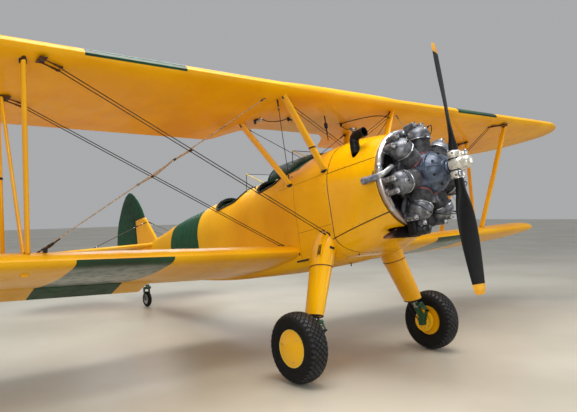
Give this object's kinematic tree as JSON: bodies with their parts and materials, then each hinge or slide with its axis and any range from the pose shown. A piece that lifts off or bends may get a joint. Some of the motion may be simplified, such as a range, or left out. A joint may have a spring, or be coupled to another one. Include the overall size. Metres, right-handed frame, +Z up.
{
  "type": "biplane",
  "caption": "Two-seat open-cockpit training biplane with an open radial engine, braced wings, cantilever main gear and a castoring tail wheel, parked tail down.",
  "frame": {"origin": "middle of the footprint box on the ground", "axes": "+X to the left wing tip (port), +Y aft towards the tail, +Z up; the nose points along -Y and the fuselage stands 11 degrees nose up"},
  "size_m": [9.796, 7.602, 3.1012],
  "materials": {
    "yellow_fabric": "glossy dope",
    "green_fabric": "glossy dope",
    "yellow_metal": "gloss",
    "crankcase": "painted",
    "cylinders": "satin",
    "exhaust": "heat tinted",
    "black_paint": "satin",
    "hub_metal": "satin",
    "wire_steel": "plain",
    "green_metal": "satin",
    "tyre": "worn",
    "clear": "clear"
  },
  "bodies": {
    "airframe": {"engine_crankcase": "crankcase", "cylinder_1": "cylinders", "cylinder_2": "cylinders", "cylinder_3": "cylinders", "cylinder_4": "cylinders", "cylinder_5": "cylinders", "cylinder_6": "cylinders", "cylinder_7": "cylinders", "exhaust_collector": "exhaust", "intake_elbow": "black_paint", "engine_cowl": "yellow_metal", "upper_centre_section": "yellow_fabric", "upper_wing_left": "yellow_fabric", "upper_wing_right": "yellow_fabric", "lower_wing_left": "yellow_fabric", "lower_wing_right": "yellow_fabric", "cabane_front_left": "yellow_metal", "cabane_front_right": "yellow_metal", "cabane_rear_left": "yellow_metal", "cabane_rear_right": "yellow_metal", "strut_front_left": "yellow_metal", "strut_front_right": "yellow_metal", "strut_rear_left": "yellow_metal", "strut_rear_right": "yellow_metal", "strut_diagonal_left": "yellow_metal", "strut_diagonal_right": "yellow_metal", "rigging_left": "wire_steel", "rigging_right": "wire_steel", "gear_leg_left": "yellow_metal", "gear_leg_right": "yellow_metal", "gear_knuckle_left": "green_metal", "gear_knuckle_right": "green_metal", "tail_strut": "green_metal", "stabilizer_left": "yellow_fabric", "stabilizer_right": "yellow_fabric", "fin": "yellow_fabric", "fuselage": "yellow_fabric", "windscreen_front": "clear", "windscreen_rear": "clear", "seat_front": "green_metal", "seat_rear": "green_metal", "panel_front": "black_paint", "panel_rear": "black_paint"},
    "propeller": {"propeller_hub": "hub_metal", "propeller_blade_1": "black_paint", "propeller_blade_2": "black_paint"},
    "wheel_left": {"tyre_left": "tyre", "wheel_left": "yellow_metal"},
    "wheel_right": {"tyre_right": "tyre", "wheel_right": "yellow_metal"},
    "tail_fork": {"tail_fork": "green_metal"},
    "tail_wheel": {"tail_wheel": "tyre"},
    "rudder": {"rudder": "green_fabric"},
    "elevator": {"elevator": "yellow_fabric"},
    "aileron_left": {"aileron_left": "yellow_fabric"},
    "aileron_right": {"aileron_right": "yellow_fabric"}
  },
  "joints": [
    {"name": "propeller_spin", "type": "hinge", "parent": "airframe", "child": "propeller", "pos_m": [0, -3.56186, 1.96407], "axis": [0, -0.9817, 0.1905], "continuous": true},
    {"name": "wheel_left_spin", "type": "hinge", "parent": "airframe", "child": "wheel_left", "pos_m": [0.981, -2.51653, 0.327], "axis": [1, 0, 0], "continuous": true},
    {"name": "wheel_right_spin", "type": "hinge", "parent": "airframe", "child": "wheel_right", "pos_m": [-0.981, -2.51653, 0.327], "axis": [1, 0, 0], "continuous": true},
    {"name": "tail_swivel", "type": "hinge", "parent": "airframe", "child": "tail_fork", "pos_m": [0, 2.58896, 0.34287], "axis": [0, 0.1905, 0.9817], "continuous": true},
    {"name": "tail_wheel_spin", "type": "hinge", "parent": "tail_fork", "child": "tail_wheel", "pos_m": [0, 2.60881, 0.13019], "axis": [1, 0, 0], "continuous": true},
    {"name": "rudder_turn", "type": "hinge", "parent": "airframe", "child": "rudder", "pos_m": [0, 2.93519, 1.00912], "axis": [0, 0.1905, 0.9817], "range_deg": [-30, 30]},
    {"name": "elevator_turn", "type": "hinge", "parent": "airframe", "child": "elevator", "pos_m": [0, 2.88955, 0.93139], "axis": [1, 0, 0], "range_deg": [-22.5, 27.5]},
    {"name": "aileron_left_turn", "type": "hinge", "parent": "airframe", "child": "aileron_left", "pos_m": [2.97, -0.74986, 0.92409], "axis": [0.9995, 0.0063, 0.0325], "range_deg": [-37, 3]},
    {"name": "aileron_right_turn", "type": "hinge", "parent": "airframe", "child": "aileron_right", "pos_m": [-2.97, -0.74986, 0.92409], "axis": [0.9995, -0.0063, -0.0325], "range_deg": [-3, 37]}
  ],
  "couplings": [
    {"joint": "aileron_right_turn", "follows": "aileron_left_turn", "ratio": -1}
  ]
}
